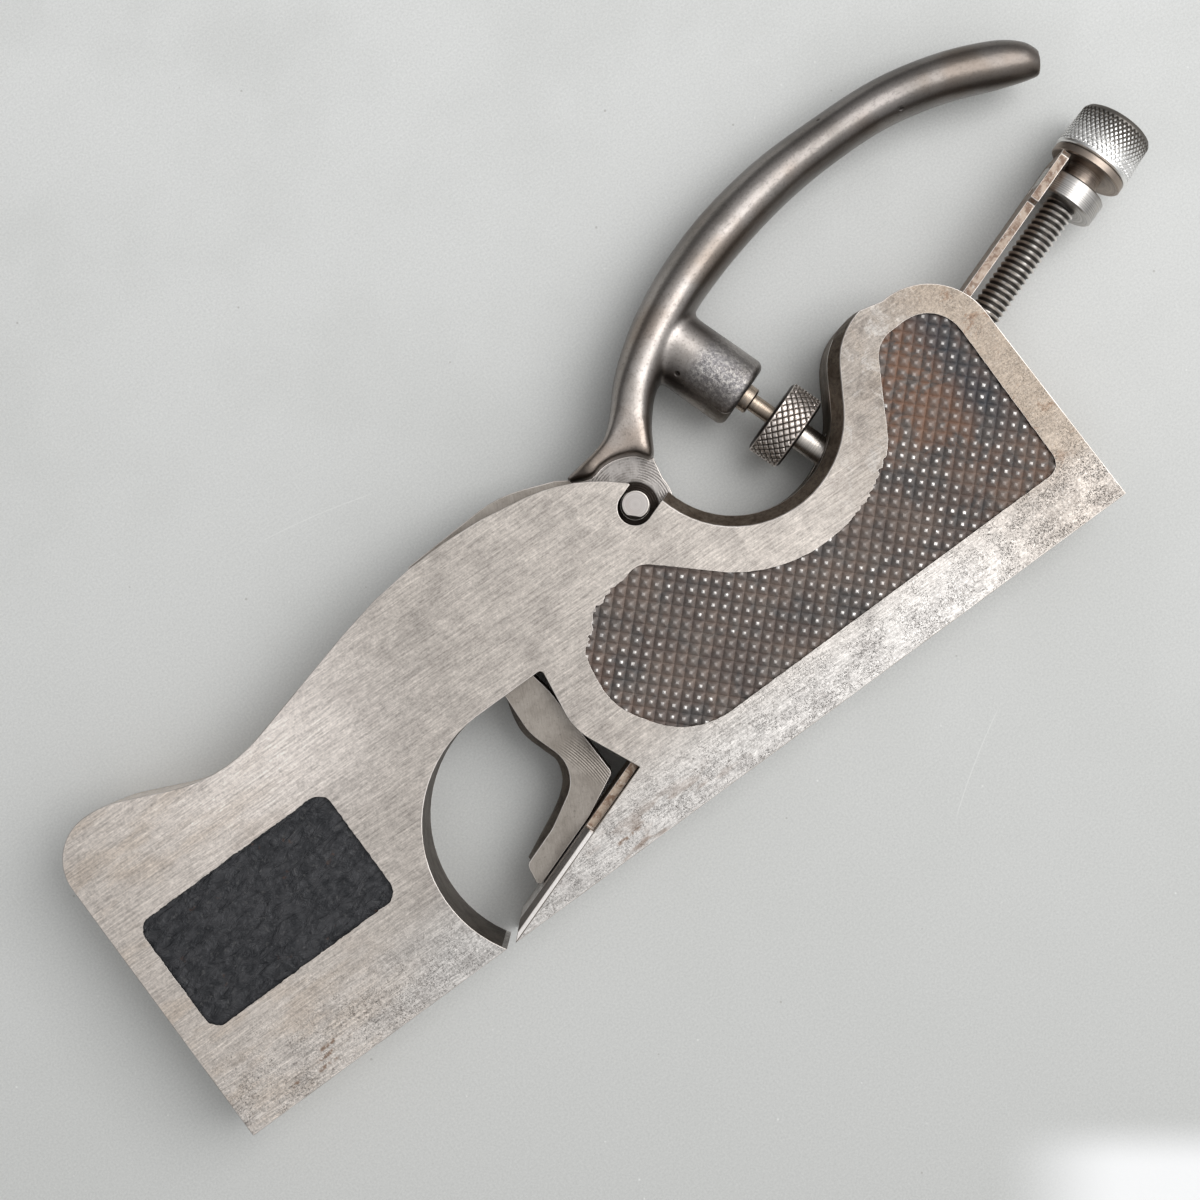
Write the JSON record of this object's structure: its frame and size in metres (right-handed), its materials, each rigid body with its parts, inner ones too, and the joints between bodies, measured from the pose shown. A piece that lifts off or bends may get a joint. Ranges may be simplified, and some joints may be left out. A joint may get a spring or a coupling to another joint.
{
  "type": "shoulder plane",
  "caption": "Narrow metal shoulder plane: a cast body with an open throat, a low-angle cutting iron, a pivoted cap lever with a palm arm and clamp screw, and a screw adjuster at the heel.",
  "frame": {"origin": "on the right side face, at the middle of the sole's lower edge; the plane lies on this side face", "axes": "+X towards the heel along the sole, +Y up from the sole towards the cap lever, +Z out of the left side face"},
  "size_m": [0.2482, 0.0927, 0.0191],
  "materials": {
    "body_casting": "ground bright faces with fine pitting, dark checkered grip panels",
    "cutting_iron": "ground steel with light rust",
    "cap_lever": "smooth worn grey casting",
    "pivot_pin": "worn bright steel",
    "lever_screw": "turned steel with a straw tint",
    "thumb_wheel": "diamond-knurled steel",
    "adjusting_screw": "turned steel, dark in the thread",
    "adjusting_knob": "bright diamond-knurled steel"
  },
  "bodies": {
    "body": {"body_casting": "body_casting"},
    "iron": {"cutting_iron": "cutting_iron"},
    "adjuster": {"adjusting_screw": "adjusting_screw", "adjusting_knob": "adjusting_knob"},
    "lever": {"cap_lever": "cap_lever", "pivot_pin": "pivot_pin"},
    "clamp_screw": {"lever_screw": "lever_screw"},
    "clamp_wheel": {"thumb_wheel": "thumb_wheel"}
  },
  "joints": [
    {"name": "iron_slide", "type": "slide", "parent": "body", "child": "iron", "axis": [0.9489, 0.3156, 0], "range_m": [-0.001, 0.004]},
    {"name": "adjuster_turn", "type": "hinge", "parent": "iron", "child": "adjuster", "pos_m": [0.12449, 0.05018, 0.00953], "axis": [0.9489, 0.3156, 0], "range_deg": [-320, 1260]},
    {"name": "lever_tilt", "type": "hinge", "parent": "body", "child": "lever", "pos_m": [0.0263, 0.0529, 0.00953], "axis": [0, 0, 1], "range_deg": [-4.5, 0]},
    {"name": "clamp_screw_travel", "type": "slide", "parent": "lever", "child": "clamp_screw", "axis": [-0.3156, 0.9489, 0], "range_m": [0, 0.0024]},
    {"name": "thumb_wheel_turn", "type": "hinge", "parent": "clamp_screw", "child": "clamp_wheel", "pos_m": [0.05893, 0.04795, 0.00953], "axis": [-0.3156, 0.9489, 0], "range_deg": [0, 650]}
  ],
  "couplings": [
    {"joint": "adjuster_turn", "follows": "iron_slide", "rad_per_m": 4947.3},
    {"joint": "clamp_screw_travel", "follows": "thumb_wheel_turn", "m_per_rad": 0.00020213},
    {"joint": "lever_tilt", "follows": "thumb_wheel_turn", "ratio": -0.0068985}
  ]
}
